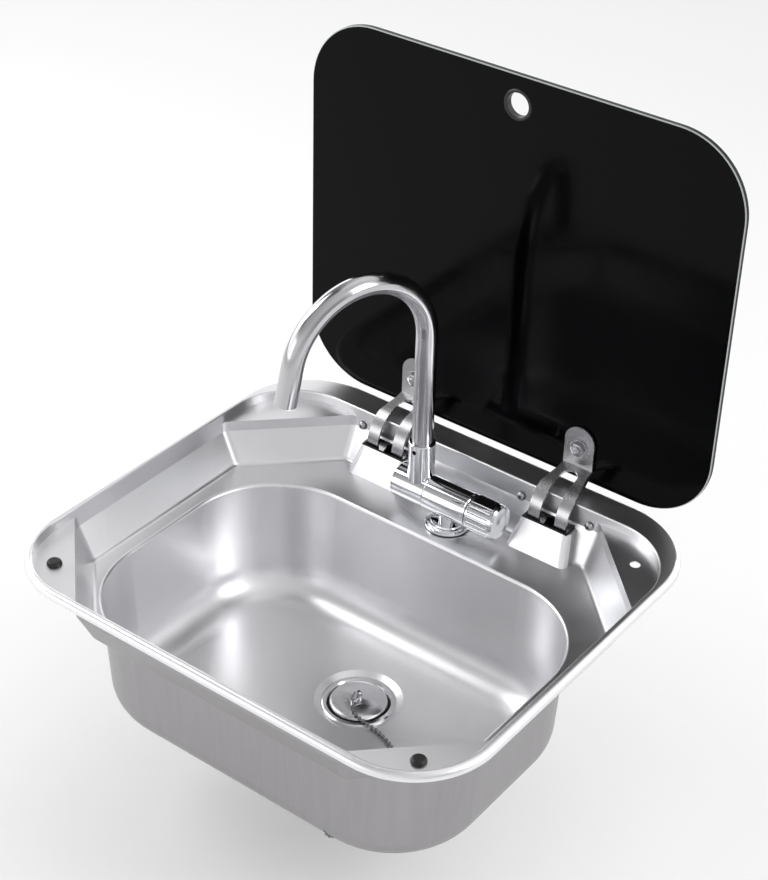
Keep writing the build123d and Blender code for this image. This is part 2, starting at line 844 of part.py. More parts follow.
# bent-wire triangle through the eye, lying towards the front
lean = radians(link_slope)
link_plane = Plane((drain_x, drain_y, eye_z), x_dir=(1, 0, 0), z_dir=(0, -sin(lean), cos(lean)))
with BuildPart() as plug_link:
    with BuildLine(link_plane) as wire:
        FilletPolyline(
            (-link_half, 0), (link_half, 0), (0, -link_reach),
            radius=[link_bend, link_bend, 2 * link_bend], close=True,
        )
    loop = wire.wires()[0]
    with BuildSketch(Plane(loop @ 0, z_dir=loop % 0)):
        Circle(link_wire)
    sweep(path=loop)
plug_link.part.label = "plug_link"
export_step(plug_link.part, "parts/plug_link.step")

# ---------------------------------------------------------------- ball chain

link_tip = link_reach - 2 * link_bend * (1 / sin(atan2(link_half, link_reach)) - 1)
apex = Vector(drain_x, drain_y - link_tip * cos(lean), eye_z - link_tip * sin(lean))
chain_z = floor_z + chain_ball
wall_gap = clasp_radius + 0.2
chain_end_z = anchor_z - anchor_radius - 1

chain_turn = Vector(15.0, -17.0, chain_z)
clasp_way = (chain_turn - apex).normalized()
clasp_start = apex + clasp_way * (link_wire + 0.8)

chain_points = [
    clasp_start + clasp_way * clasp_length,
    chain_turn,
    Vector(27.1, -18.6, chain_z),
    Vector(45.6, -21.6, chain_z),
    Vector(62.5, -28.0, chain_z),
    Vector(80.0, -45.0, chain_z),
    Vector(91.0, -70.0, chain_z),
    Vector(91.0, -98.0, chain_z),
    Vector(86.8, bowl_front_at(chain_z) + wall_gap, chain_z),
    Vector(85.0, bowl_front_at(-100.0) + wall_gap, -100.0),
    Vector(anchor_x, bowl_front_at(chain_end_z) + wall_gap, chain_end_z),
]

chain_radii = []
for before, point, after in zip(chain_points, chain_points[1:], chain_points[2:]):
    turn = (point - before).get_angle(after - point)
    short = min((point - before).length, (after - point).length)
    chain_radii.append(0.45 * short / tan(radians(turn / 2)))
# on the floor's radius the chain follows the sheet
chain_radii[7] = bowl_floor_soft - chain_ball
print("chain radii", [round(radius, 1) for radius in chain_radii])

with BuildPart() as ball_chain:
    with BuildLine() as route:
        FilletPolyline(*chain_points, radius=chain_radii)
    with BuildSketch(Plane(chain_points[0], z_dir=chain_points[1] - chain_points[0])):
        Circle(chain_radius)
    sweep(path=route.wires()[0])
chain_length = route.wires()[0].length
print("chain", round(chain_length, 1), "mm, volume off by",
      round(ball_chain.part.volume - chain_length * pi * chain_radius**2, 2))
ball_chain.part.label = "ball_chain"
export_step(ball_chain.part, "parts/ball_chain.step")

# clasp between the link and the first ball
with BuildPart() as chain_clasp:
    with BuildSketch(Plane(clasp_start, z_dir=clasp_way)):
        Circle(clasp_radius)
    extrude(amount=clasp_length)
chain_clasp.part.label = "chain_clasp"
export_step(chain_clasp.part, "parts/chain_clasp.step")

# button welded inside the bowl's front wall, with a barrel that takes the chain's end
draft_way = (0, cos(radians(bowl_draft)), sin(radians(bowl_draft)))
with BuildPart() as chain_anchor:
    add(turned((anchor_x, bowl_front_at(anchor_z), anchor_z), draft_way, [
        (0, 2.2), (3, 2.2), (anchor_radius - 1, 1.4), (anchor_radius, 0.6), (anchor_radius, 0), (0, 0),
    ]))
    with BuildSketch(Plane(chain_points[-1], z_dir=chain_points[-1] - chain_points[-2])):
        Circle(clasp_radius)
    extrude(amount=clasp_length + 2)
chain_anchor.part.label = "chain_anchor"
export_step(chain_anchor.part, "parts/chain_anchor.step")

# ---------------------------------------------------------------- folding tap

base_z = ledge_z + base_gasket_height
collar_top = rim_top + collar_rise
tube_foot = tap_z + sleeve_radius + 3
arch_z = rim_top + arch_rise
tap_foot = (tap_x, tap_y, ledge_z)
tap_axis = (0, tap_y, tap_z)

gasket_reach = base_ring_radius - 0.8
with BuildPart() as tap_gasket:
    add(turned(tap_foot, (0, 0, 1), [
        (stem_radius, 0), (gasket_reach, 0), (gasket_reach, base_gasket_height),
        (stem_radius, base_gasket_height),
    ]))
tap_gasket.part.label = "tap_gasket"
export_step(tap_gasket.part, "parts/tap_gasket.step")

with BuildPart() as tap_base_ring:
    low = base_ring_height * 0.35
    middle = base_ring_height * 0.7
    add(turned((tap_x, tap_y, base_z), (0, 0, 1), [
        (stem_radius + fit, 0),
        (base_ring_radius, 0),
        (base_ring_radius, low - 0.5),
        (base_ring_radius - 0.5, low),
        (base_ring_radius - 2.2, low),
        (base_ring_radius - 2.4, middle),
        (base_ring_radius - 4.6, middle),
        (base_ring_radius - 5.2, base_ring_height),
        (stem_radius + fit, base_ring_height),
    ]))
tap_base_ring.part.label = "tap_base_ring"
export_step(tap_base_ring.part, "parts/tap_base_ring.step")

with BuildPart() as tap_body:
    add(turned(tap_axis, (1, 0, 0), [
        (0, sleeve_left),
        (spigot_radius, sleeve_left),
        (spigot_radius, body_left),
        (body_radius - 0.6, body_left),
        (body_radius, body_left + 0.6),
        (body_radius, body_right - 0.6),
        (body_radius - 0.6, body_right),
        (spindle_radius + fit, body_right),
        (spindle_radius + fit, tap_x + stem_radius),
        (0, tap_x + stem_radius),
    ]))
    # foot on the base ring, and the shank through the ledge
    for top, radius, length in (
        (tap_z - body_radius / 2, stem_radius, tap_z - body_radius / 2 - base_z),
        (base_z, shank_radius, shank_length + base_gasket_height),
    ):
        with BuildSketch(Plane.XY.offset(top)):
            with Locations((tap_x, tap_y)):
                Circle(radius)
        extrude(amount=-length)
tap_body.part.label = "tap_body"
export_step(tap_body.part, "parts/tap_body.step")

with BuildPart() as fold_sleeve:
    add(turned(tap_axis, (1, 0, 0), [
        (0, sleeve_left),
        (sleeve_radius, sleeve_left),
        (sleeve_radius, sleeve_right - 0.5),
        (sleeve_radius - 0.5, sleeve_right),
        (0, sleeve_right),
    ]))
    with BuildSketch(Plane.XY.offset(tap_z)):
        with Locations((riser_x, tap_y)):
            Circle(collar_radius)
    extrude(amount=collar_top - tap_z)
    chamfer(fold_sleeve.faces().sort_by(Axis.Z)[-1].edges(), 0.6)
    with Locations(Plane((sleeve_left, tap_y, tap_z), z_dir=(-1, 0, 0))):
        Hole(spigot_radius + fit, depth=body_left - sleeve_left)
    with Locations((riser_x, tap_y, collar_top)):
        Hole(tube_radius + fit, depth=collar_top - tube_foot)
    with Locations(Plane((riser_x, tap_y - collar_radius, collar_top - grub_drop), z_dir=(0, -1, 0))):
        Hole(grub_radius, depth=collar_radius)
fold_sleeve.part.label = "fold_sleeve"
export_step(fold_sleeve.part, "parts/fold_sleeve.step")

with BuildPart() as sleeve_cap:
    add(turned(tap_axis, (1, 0, 0), [
        (0, sleeve_left),
        (spigot_radius - 0.5, sleeve_left),
        (spigot_radius - 0.5, sleeve_left - 0.3),
        (sleeve_radius, sleeve_left - 0.3),
        (sleeve_radius, sleeve_left - 1.2),
        (sleeve_radius - 1.2, sleeve_left - 2.2),
        (0, sleeve_left - 2.2),
    ]))
sleeve_cap.part.label = "sleeve_cap"
export_step(sleeve_cap.part, "parts/sleeve_cap.step")

with BuildPart() as grub_screw:
    tube_face = tube_radius + 2 * fit
    grub_face = collar_radius - 0.6
    socket_foot = tube_face + 0.5
    add(turned((riser_x, tap_y, collar_top - grub_drop), (0, -1, 0), [
        (0, tube_face), (grub_radius, tube_face), (grub_radius, grub_face), (grub_radius * 0.6, grub_face),
        (grub_radius * 0.6, socket_foot), (0, socket_foot),
    ]))
grub_screw.part.label = "grub_screw"
export_step(grub_screw.part, "parts/grub_screw.step")

# swan neck: a straight riser, an arch that leans to the left, and a straight end
lean_way = Vector(-sin(radians(arch_azimuth)), -cos(radians(arch_azimuth)), 0)
arch_plane = Plane((riser_x, tap_y, 0), x_dir=lean_way, z_dir=lean_way.cross(Vector(0, 0, 1)))
arch_end = (
    arch_radius * (1 - cos(radians(arch_turn))),
    arch_z + arch_radius * sin(radians(arch_turn)),
)
end_way = (sin(radians(arch_turn)), cos(radians(arch_turn)))
tip = (arch_end[0] + end_way[0] * arch_straight, arch_end[1] + end_way[1] * arch_straight)
tip_place = arch_plane.from_local_coords(Vector(*tip, 0))
tip_way = arch_plane.x_dir * end_way[0] + Vector(0, 0, end_way[1])

with BuildPart() as spout_tube:
    with BuildLine(arch_plane) as neck:
        Line((0, tube_foot), (0, arch_z))
        CenterArc((arch_radius, arch_z), arch_radius, 180, -arch_turn)
        Line(arch_end, tip)
    with BuildSketch(Plane.XY.offset(tube_foot)):
        with Locations((riser_x, tap_y)):
            Circle(tube_radius)
            Circle(tube_radius - tube_wall, mode=Mode.SUBTRACT)
    sweep(path=neck.wires()[0])
spout_tube.part.label = "spout_tube"
export_step(spout_tube.part, "parts/spout_tube.step")

with BuildPart() as spout_outlet:
    bore = tube_radius - tube_wall
    with BuildSketch(Plane(tip_place, z_dir=tip_way).offset(-outlet_recess)):
        Circle(bore)
        Circle(bore - 2, mode=Mode.SUBTRACT)
    extrude(amount=-6)
    with BuildSketch(Plane(tip_place, z_dir=tip_way).offset(-outlet_recess - 2)):
        Circle(bore - 1)
    extrude(amount=-1.5)
spout_outlet.part.label = "spout_outlet"
export_step(spout_outlet.part, "parts/spout_outlet.step")

ring_reach = body_radius + tap_ring_stand
ring_soft = tap_ring_length / 3
with BuildPart() as tap_ring:
    add(turned(tap_axis, (1, 0, 0), [
        (spindle_radius + fit, body_right),
        (ring_reach - ring_soft, body_right),
        (ring_reach, body_right + ring_soft),
        (ring_reach, body_right + tap_ring_length - ring_soft),
        (ring_reach - ring_soft, body_right + tap_ring_length),
        (spindle_radius + fit, body_right + tap_ring_length),
    ]))
tap_ring.part.label = "tap_ring"
export_step(tap_ring.part, "parts/tap_ring.step")

knob_left = body_right + tap_ring_length + 0.3
flutes_left = knob_left + knob_ring
knob_right = knob_left + tap_knob_length
flutes_right = knob_right - knob_end

with BuildPart() as tap_spindle:
    add(turned(tap_axis, (1, 0, 0), [
        (0, tap_x + stem_radius + 1), (spindle_radius, tap_x + stem_radius + 1),
        (spindle_radius, flutes_right), (0, flutes_right),
    ]))
tap_spindle.part.label = "tap_spindle"
export_step(tap_spindle.part, "parts/tap_spindle.step")

# knob: a turned bar with a bevelled end, fluted and with one flat between its two plain bands
with BuildPart() as tap_knob:
    add(turned((knob_left, tap_y, tap_z), (1, 0, 0), [
        (0, 0),
        (tap_knob_radius - 0.4, 0),
        (tap_knob_radius, 0.4),
        (tap_knob_radius, tap_knob_length - knob_bevel),
        (tap_knob_radius - knob_bevel, tap_knob_length),
        (tap_knob_radius * 0.6, tap_knob_length),
        (0, tap_knob_length - 0.8),
    ]))
    side_on = Plane((flutes_left, tap_y, tap_z), x_dir=(0, 1, 0), z_dir=(1, 0, 0))
    with BuildSketch(side_on):
        with PolarLocations(tap_knob_radius + flute_out, flute_count):
            Circle(flute_radius)
        # flat that faces up when the tap is shut
        with Locations((0, tap_knob_radius)):
            flat_depth = tap_knob_radius - sqrt(tap_knob_radius**2 - flat_half**2)
            Rectangle(2 * flat_half + 2, 2 * flat_depth)
    extrude(amount=flutes_right - flutes_left, mode=Mode.SUBTRACT)
    with Locations(Plane((knob_left, tap_y, tap_z), z_dir=(-1, 0, 0))):
        Hole(spindle_radius, depth=flutes_right - knob_left)
tap_knob.part.label = "tap_knob"
export_step(tap_knob.part, "parts/tap_knob.step")

with BuildPart() as tap_washer:
    add(turned(tap_foot, (0, 0, 1), [
        (shank_radius, -sheet), (shank_radius + 7, -sheet), (shank_radius + 7, -sheet - 1.5),
        (shank_radius, -sheet - 1.5),
    ]))
tap_washer.part.label = "tap_washer"
export_step(tap_washer.part, "parts/tap_washer.step")

with BuildPart() as tap_nut:
    with BuildSketch(Plane.XY.offset(ledge_z - sheet - 1.5)):
        with Locations((tap_x, tap_y)):
            RegularPolygon(shank_radius + 6, 6)
            Circle(shank_radius, mode=Mode.SUBTRACT)
    extrude(amount=-6)
tap_nut.part.label = "tap_nut"
export_step(tap_nut.part, "parts/tap_nut.step")

with BuildPart() as inlet_tail:
    top = -shank_length
    profile = [(inlet_bore, top), (inlet_radius, top)]
    for ring in range(3):
        down = top - inlet_length + 18 - ring * 5
        profile += [(inlet_radius, down), (inlet_radius + 0.8, down), (inlet_radius, down - 3.5)]
    profile += [(inlet_radius, top - inlet_length), (inlet_bore, top - inlet_length)]
    add(turned(tap_foot, (0, 0, 1), profile))
inlet_tail.part.label = "inlet_tail"
export_step(inlet_tail.part, "parts/inlet_tail.step")
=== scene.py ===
import bmesh
import bpy
from math import cos, pi, radians, sin, tan
from mathutils import Matrix, Vector


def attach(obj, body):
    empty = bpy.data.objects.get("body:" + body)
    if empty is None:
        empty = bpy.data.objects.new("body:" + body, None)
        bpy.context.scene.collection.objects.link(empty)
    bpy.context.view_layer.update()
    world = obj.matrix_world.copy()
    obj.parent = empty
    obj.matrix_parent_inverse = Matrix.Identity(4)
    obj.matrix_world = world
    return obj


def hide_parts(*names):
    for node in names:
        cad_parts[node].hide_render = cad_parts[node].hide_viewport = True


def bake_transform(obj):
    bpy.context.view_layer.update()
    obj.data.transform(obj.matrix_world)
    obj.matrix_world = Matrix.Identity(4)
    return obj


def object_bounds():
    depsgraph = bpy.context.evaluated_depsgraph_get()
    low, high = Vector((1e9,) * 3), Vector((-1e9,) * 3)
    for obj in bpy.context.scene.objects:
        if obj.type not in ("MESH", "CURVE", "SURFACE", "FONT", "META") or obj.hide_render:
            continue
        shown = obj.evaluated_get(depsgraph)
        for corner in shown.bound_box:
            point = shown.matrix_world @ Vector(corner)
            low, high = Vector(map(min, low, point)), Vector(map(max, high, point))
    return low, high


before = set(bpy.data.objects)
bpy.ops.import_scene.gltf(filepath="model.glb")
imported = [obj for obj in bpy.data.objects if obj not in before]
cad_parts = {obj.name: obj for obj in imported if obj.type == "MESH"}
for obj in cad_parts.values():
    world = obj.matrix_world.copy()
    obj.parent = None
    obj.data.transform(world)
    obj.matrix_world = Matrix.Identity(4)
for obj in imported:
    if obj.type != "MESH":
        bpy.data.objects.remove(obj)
cad_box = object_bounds()
scene = bpy.context.scene
MM = 0.001
sides = ("left", "right")

# ---------------------------------------------------------------- view, floor and light
# A product seen from above its front right corner in a white studio: one long lens, a pale sweep of
# floor under the sink, and walls of unequal brightness that show as broad soft streaks in the steel.

photo_height = 880
focal_pixels = 1969.5
film_height = 36
view_depth = 20
camera_place = Vector((0.73042, -0.95705, 0.92114))
camera_right = Vector((0.7947, 0.6065, 0.0243))
camera_back = Vector((0.4919, -0.6669, 0.5598))


def srgb(code):
    """Linear colour from a hex code."""
    values = [int(code[i:i + 2], 16) / 255 for i in (1, 3, 5)]
    return [v / 12.92 if v <= 0.04045 else ((v + 0.055) / 1.055) ** 2.4 for v in values] + [1]


def node(tree, kind, links=(), values=(), **settings):
    """Adds a node, sets it up, and links (socket, source output) pairs into it."""
    made = tree.nodes.new(kind)
    for name, value in settings.items():
        setattr(made, name, value)
    for socket, value in values:
        made.inputs[socket].default_value = value
    for socket, source in links:
        tree.links.new(source, made.inputs[socket])
    return made


camera_data = bpy.data.cameras.new("studio_camera")
camera_data.sensor_fit = "VERTICAL"
camera_data.sensor_height = film_height
camera_data.lens = focal_pixels / photo_height * film_height
camera_data.clip_end = view_depth
camera = bpy.data.objects.new("studio_camera", camera_data)
scene.collection.objects.link(camera)
back = camera_back.normalized()
right = (camera_right - back * camera_right.dot(back)).normalized()
up = back.cross(right)
camera_turn = Matrix((right, up, back)).transposed().to_4x4()
camera.matrix_world = Matrix.Translation(camera_place) @ camera_turn
scene.camera = camera
scene.view_settings.view_transform = "Standard"

# the floor lies just under the waste's tail and runs far past the view
floor_gap = 1 * MM
floor_reach = 9
floor_height = cad_box[0][2] - floor_gap
floor_corners = [
    (x * floor_reach, y * floor_reach, floor_height) for x, y in ((-1, -1), (1, -1), (1, 1), (-1, 1))
]
floor_mesh = bpy.data.meshes.new("floor")
floor_mesh.from_pydata(floor_corners, [], [(0, 1, 2, 3)])
floor = bpy.data.objects.new("floor", floor_mesh)
scene.collection.objects.link(floor)
paper = bpy.data.materials.new("studio_paper")
paper.use_nodes = True
paper_shader = paper.node_tree.nodes["Principled BSDF"]
paper_shader.inputs["Base Color"].default_value = srgb("#f4f4f4")
paper_shader.inputs["Roughness"].default_value = 0.9
floor_mesh.materials.append(paper)

# the studio's walls: the way to each, and its brightness low down and high up. They are white on the
# left and behind, where the steel faces look, and dim on the right
studio_walls = (
    ((-1, 0, 0), 2.2, 0.08),
    ((1, 0, 0), 0.42, 0.85),
    ((0, 1, 0), 2.5, 1.2),
    ((0, -1, 0), 1.03, 0.64),
)
low_band_top = 0.25
high_band_foot = 0.55

world = bpy.data.worlds.new("studio_world")
world.use_nodes = True
scene.world = world
sky = world.node_tree
sky.nodes.clear()
looking = node(sky, "ShaderNodeTexCoord").outputs["Generated"]
look_height = node(sky, "ShaderNodeSeparateXYZ", [("Vector", looking)]).outputs["Z"]
level_way = node(sky, "ShaderNodeVectorMath", [(0, looking)], [(1, (1, 1, 0))], operation="MULTIPLY")
compass = node(sky, "ShaderNodeVectorMath", [(0, level_way.outputs["Vector"])], operation="NORMALIZE")
high_up = node(
    sky, "ShaderNodeMapRange", [("Value", look_height)],
    [("From Min", low_band_top), ("From Max", high_band_foot)], interpolation_type="SMOOTHSTEP",
).outputs["Result"]
studio = None
for way, low_value, high_value in studio_walls:
    ahead = node(
        sky, "ShaderNodeVectorMath", [(0, compass.outputs["Vector"])], [(1, way)], operation="DOT_PRODUCT",
    )
    toward = node(sky, "ShaderNodeMath", [(0, ahead.outputs["Value"])], [(1, 0.0)], operation="MAXIMUM")
    share = node(sky, "ShaderNodeMath", [(0, toward.outputs["Value"])], [(1, 2.0)], operation="POWER")
    level = node(
        sky, "ShaderNodeMapRange", [("Value", high_up)], [("To Min", low_value), ("To Max", high_value)],
    )
    wall = node(
        sky, "ShaderNodeMath", [(0, share.outputs["Value"]), (1, level.outputs["Result"])],
        operation="MULTIPLY",
    ).outputs["Value"]
    if studio is None:
        studio = wall
    else:
        studio = node(sky, "ShaderNodeMath", [(0, studio), (1, wall)], operation="ADD").outputs["Value"]
glow = node(sky, "ShaderNodeBackground", [("Color", studio)], [("Strength", 1.0)])
node(sky, "ShaderNodeOutputWorld", [("Surface", glow.outputs["Background"])])

# soft boxes that face the sink: name, place, width, height and power
soft_boxes = (
    ("box_left", (-1.5, -0.3, 1.3), 0.9, 1.4, 15),
    ("box_right", (1.7, 0.4, 1.0), 0.5, 1.2, 11.5),
    ("box_front", (-0.9, -1.8, 0.5), 1.2, 0.8, 3),
)
for name, place, width, tall, power in soft_boxes:
    box_data = bpy.data.lights.new(name, "AREA")
    box_data.shape = "RECTANGLE"
    box_data.size = width
    box_data.size_y = tall
    box_data.energy = power
    lamp = bpy.data.objects.new(name, box_data)
    lamp.location = place
    lamp.rotation_euler = (-Vector(place)).to_track_quat("-Z", "Y").to_euler()
    scene.collection.objects.link(lamp)

# ---------------------------------------------------------------- pressed sink
# Cold-rolled 18/10 sheet, pressed in one piece and given a satin polish that runs with the sink's
# width. It reads as light grey with broad soft streaks, and fine lines only close up. The outside,
# which hides under the worktop, is left as it came from the press and duller, and its colour is
# painted darker grey as painted shade.

# patterns are set in cells to the metre: a polishing cloud is about 36 mm across
cloud_cells = 28.0
cloud_shade = 0.94
grain_depth = 0.02 * MM


def surface(name):
    """New node material, its tree and its shader."""
    material = bpy.data.materials.new(name)
    material.use_nodes = True
    return material, material.node_tree, material.node_tree.nodes["Principled BSDF"]


def satin_steel(name, tint, rough, grain, spread):
    """Satin metal: lines of the given spacings in mm along X, Y and Z, over faint polishing clouds."""
    material, tree, shader = surface(name)
    place = node(tree, "ShaderNodeTexCoord").outputs["Object"]
    cells = [1 / (spacing * MM) for spacing in grain]
    lines_at = node(tree, "ShaderNodeMapping", [("Vector", place)], [("Scale", cells)])
    lines = node(
        tree, "ShaderNodeTexNoise", [("Vector", lines_at.outputs["Vector"])],
        [("Scale", 1.0), ("Detail", 3.0), ("Roughness", 0.6)],
    )
    clouds = node(
        tree, "ShaderNodeTexNoise", [("Vector", place)],
        [("Scale", cloud_cells), ("Detail", 4.0), ("Roughness", 0.55)],
    )
    worn = node(
        tree, "ShaderNodeMath", [(0, lines.outputs["Fac"]), (1, clouds.outputs["Fac"])], operation="ADD",
    )
    roughness = node(
        tree, "ShaderNodeMapRange", [("Value", worn.outputs["Value"])],
        [("From Min", 0.7), ("From Max", 1.3), ("To Min", rough - spread), ("To Max", rough + spread)],
    )
    clouded = [c * cloud_shade for c in srgb(tint)[:3]] + [1]
    colour = node(
        tree, "ShaderNodeMix", [("Factor", clouds.outputs["Fac"])], [(6, srgb(tint)), (7, clouded)],
        data_type="RGBA",
    )
    bump = node(
        tree, "ShaderNodeBump", [("Height", lines.outputs["Fac"])],
        [("Strength", 0.06), ("Distance", grain_depth)],
    )
    tree.links.new(colour.outputs[2], shader.inputs["Base Color"])
    tree.links.new(roughness.outputs["Result"], shader.inputs["Roughness"])
    tree.links.new(bump.outputs["Normal"], shader.inputs["Normal"])
    shader.inputs["Metallic"].default_value = 1.0
    return material


def dress(material, *names):
    """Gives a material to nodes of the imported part."""
    for name in names:
        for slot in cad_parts[name].material_slots:
            slot.material = material


# fine lines a quarter of a millimetre apart, each about 9 mm long
sheet_steel = satin_steel("satin_pressed_steel", "#ececee", 0.34, (9, 0.25, 0.25), 0.05)
dress(sheet_steel, "sink")

# the outside faces away from a point high over the bowl, and lies below the rolled rim. Its mill marks
# are drawn down the wall by the press, 5.6 mm wide and 110 mm long, coarse enough to show
over_bowl_point = (0, -0.0105, 0.3)
rim_foot = -0.5 * MM
mill_cells = (180, 180, 9)
press_dullness = 0.42

press_tree = sheet_steel.node_tree
press_shader = press_tree.nodes["Principled BSDF"]
spot = node(press_tree, "ShaderNodeTexCoord")
over_bowl = node(
    press_tree, "ShaderNodeVectorMath", [(0, spot.outputs["Object"])], [(1, over_bowl_point)],
    operation="SUBTRACT",
)
away = node(
    press_tree, "ShaderNodeVectorMath", [(0, over_bowl.outputs["Vector"]), (1, spot.outputs["Normal"])],
    operation="DOT_PRODUCT",
)
below = node(press_tree, "ShaderNodeSeparateXYZ", [("Vector", spot.outputs["Object"])])
under_rim = node(
    press_tree, "ShaderNodeMath", [(0, below.outputs["Z"])], [(1, rim_foot)], operation="LESS_THAN",
)
outward = node(
    press_tree, "ShaderNodeMath", [(0, away.outputs["Value"])], [(1, 0.0)], operation="GREATER_THAN",
)
outside = node(
    press_tree, "ShaderNodeMath", [(0, under_rim.outputs["Value"]), (1, outward.outputs["Value"])],
    operation="MULTIPLY",
).outputs["Value"]
drawn_down = node(
    press_tree, "ShaderNodeMapping", [("Vector", spot.outputs["Object"])], [("Scale", mill_cells)],
)
mill_marks = node(
    press_tree, "ShaderNodeTexNoise", [("Vector", drawn_down.outputs["Vector"])],
    [("Scale", 1.0), ("Detail", 5.0), ("Roughness", 0.6)],
)
# the outside's grey is painted darker than the polished steel's: painted shade, laid under the real mill
# marks drawn down the wall
mill_marks_and_painted_shade = node(
    press_tree, "ShaderNodeMix", [("Factor", mill_marks.outputs["Fac"])],
    [(6, srgb("#9c9a9c")), (7, srgb("#aaa8aa"))], data_type="RGBA",
)
polished_tint = press_shader.inputs["Base Color"].links[0].from_socket
polished_gloss = press_shader.inputs["Roughness"].links[0].from_socket
polished_or_painted_shade_tint = node(
    press_tree, "ShaderNodeMix",
    [("Factor", outside), (6, polished_tint), (7, mill_marks_and_painted_shade.outputs[2])], data_type="RGBA",
)
both_glosses = node(
    press_tree, "ShaderNodeMix", [("Factor", outside), (2, polished_gloss)], [(3, press_dullness)],
    data_type="FLOAT",
)
press_tree.links.new(polished_or_painted_shade_tint.outputs[2], press_shader.inputs["Base Color"])
press_tree.links.new(both_glosses.outputs[0], press_shader.inputs["Roughness"])

# ---------------------------------------------------------------- rubber buttons, pads and edgings
# Moulded black rubber: the buttons that the lid lands on, the washers that grip the glass, and the
# edging of the hinge slots. Matt, with a slight bloom and a fine moulded texture.

# cells to the metre: a grain of 0.7 mm, and patches of bloom 8 mm across
mould_cells = 1500.0
bloom_cells = 120.0
bloom_spread = 0.1
mould_depth = 0.05 * MM


def moulded_rubber(name, tint, rough):
    """Black rubber or plastic with a fine moulded grain."""
    material, tree, shader = surface(name)
    place = node(tree, "ShaderNodeTexCoord").outputs["Object"]
    grain = node(
        tree, "ShaderNodeTexNoise", [("Vector", place)], [("Scale", mould_cells), ("Detail", 2.0)],
    )
    bloom = node(
        tree, "ShaderNodeTexNoise", [("Vector", place)], [("Scale", bloom_cells), ("Detail", 2.0)],
    )
    roughness = node(
        tree, "ShaderNodeMapRange", [("Value", bloom.outputs["Fac"])],
        [("To Min", rough - bloom_spread), ("To Max", rough + bloom_spread)],
    )
    bump = node(
        tree, "ShaderNodeBump", [("Height", grain.outputs["Fac"])],
        [("Strength", 0.15), ("Distance", mould_depth)],
    )
    shader.inputs["Base Color"].default_value = srgb(tint)
    tree.links.new(roughness.outputs["Result"], shader.inputs["Roughness"])
    tree.links.new(bump.outputs["Normal"], shader.inputs["Normal"])
    return material


black_rubber = moulded_rubber("moulded_black_rubber", "#0b0b0c", 0.42)
for side in sides:
    dress(black_rubber, f"button_{side}", f"slot_trim_{side}")
    dress(black_rubber, f"glass_pad_front_{side}", f"glass_pad_back_{side}")
dress(black_rubber, "lid_grommet", "waste_gasket", "plug_seal", "tap_gasket")

# ---------------------------------------------------------------- glass lid
# Toughened 5 mm float glass, polished in front and enamelled black behind, so it looks black and
# deep. Its ground edge is dark, and the polished bevel along it is painted pale grey, a painted
# highlight that stands for the thin pale line the studio's light makes on it.

# how squarely a face looks to the front or back: the two broad faces, the bevel, and the enamel behind
broad_face = 0.9
bevel_face = 0.3
enamel_face = 0.5
wipe_cells = 30.0
dull_gain = 0.28

lid_black, lid_tree, lid_shader = surface("black_enamelled_glass")
lid_spot = node(lid_tree, "ShaderNodeTexCoord")
lid_way = node(lid_tree, "ShaderNodeSeparateXYZ", [("Vector", lid_spot.outputs["Normal"])])
across = node(lid_tree, "ShaderNodeMath", [(0, lid_way.outputs["Y"])], operation="ABSOLUTE")
ground_edge = node(
    lid_tree, "ShaderNodeMath", [(0, across.outputs["Value"])], [(1, broad_face)], operation="LESS_THAN",
)
behind = node(
    lid_tree, "ShaderNodeMath", [(0, lid_way.outputs["Y"])], [(1, enamel_face)], operation="GREATER_THAN",
)
bevel = node(
    lid_tree, "ShaderNodeMath", [(0, across.outputs["Value"])], [(1, bevel_face)], operation="GREATER_THAN",
)
# the bevel's pale grey is a painted highlight, standing for the studio's white mirrored in it
edge_tint_and_painted_highlight = node(
    lid_tree, "ShaderNodeMix", [("Factor", bevel.outputs["Value"])],
    [(6, srgb("#26282a")), (7, srgb("#a9adae"))], data_type="RGBA",
)
lid_tint_with_painted_highlight = node(
    lid_tree, "ShaderNodeMix", [("Factor", ground_edge.outputs["Value"]), (7, edge_tint_and_painted_highlight.outputs[2])],
    [(6, srgb("#020203"))], data_type="RGBA",
)
wiped_glass = node(
    lid_tree, "ShaderNodeTexNoise", [("Vector", lid_spot.outputs["Object"])],
    [("Scale", wipe_cells), ("Detail", 5.0), ("Roughness", 0.6)],
)
polish = node(
    lid_tree, "ShaderNodeMapRange", [("Value", wiped_glass.outputs["Fac"])],
    [("From Min", 0.35), ("From Max", 0.7), ("To Min", 0.08), ("To Max", 0.13)],
)
dull = node(
    lid_tree, "ShaderNodeMath", [(0, ground_edge.outputs["Value"]), (1, behind.outputs["Value"])],
    operation="ADD", use_clamp=True,
)
lid_gloss = node(
    lid_tree, "ShaderNodeMath", [(0, dull.outputs["Value"]), (2, polish.outputs["Result"])],
    [(1, dull_gain)], operation="MULTIPLY_ADD",
)
lid_tree.links.new(lid_tint_with_painted_highlight.outputs[2], lid_shader.inputs["Base Color"])
lid_tree.links.new(lid_gloss.outputs["Value"], lid_shader.inputs["Roughness"])
# far below real glass, because the black face would otherwise mirror the studio too brightly
lid_shader.inputs["Specular IOR Level"].default_value = 0.08
dress(lid_black, "lid_glass")

# ---------------------------------------------------------------- hinge straps, carriers and pins
# Bent and blanked 2 mm stainless strap, tumbled so that its edges are bright, turning on plain pins.
# The grain is fine across the strap and drawn out along it.

strap_steel = satin_steel("tumbled_strap_steel", "#b9b9bb", 0.26, (0.3, 3, 6), 0.07)
fixing_steel = satin_steel("bright_fixing_steel", "#b2b2b5", 0.2, (0.6, 0.6, 0.6), 0.04)
for side in sides:
    dress(strap_steel, f"hinge_arm_{side}", f"hinge_carrier_{side}")
    dress(fixing_steel, f"hinge_pin_{side}")

# ---------------------------------------------------------------- carrier screws
# Four stainless pan-head screws with a cross recess, cold headed. They hold the hinge carriers to the
# sink's back wall, each with a hex nut behind.

